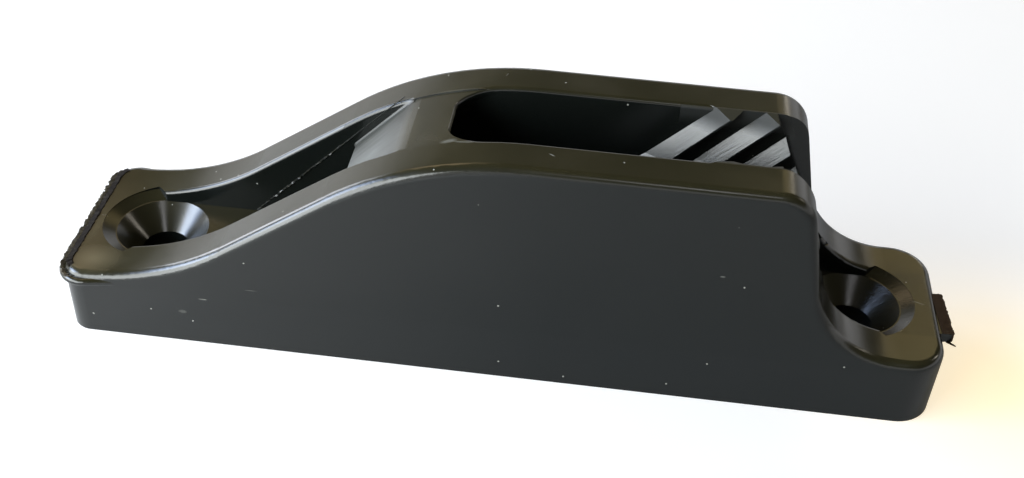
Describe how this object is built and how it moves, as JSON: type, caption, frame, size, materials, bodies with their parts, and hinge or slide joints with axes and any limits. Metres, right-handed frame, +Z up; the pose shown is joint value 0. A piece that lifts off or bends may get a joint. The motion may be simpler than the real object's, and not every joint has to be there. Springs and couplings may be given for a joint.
{
  "type": "jam cleat",
  "caption": "Moulded jam cleat for a small rope: a ridged V-groove between two walls, a bridge over the rope lead and a countersunk screw hole in each foot.",
  "frame": {"origin": "middle of the flat base, halfway along the body and on its centre plane, level with the deck", "axes": "+X along the rope, from the low entry foot under the bridge towards the steep tail; +Y across the walls; +Z up from the deck"},
  "size_m": [0.1017, 0.0228, 0.0289],
  "materials": {
    "moulding": "semi-gloss black moulded nylon"
  },
  "bodies": {
    "root": {"cleat_body": "moulding"}
  },
  "joints": []
}
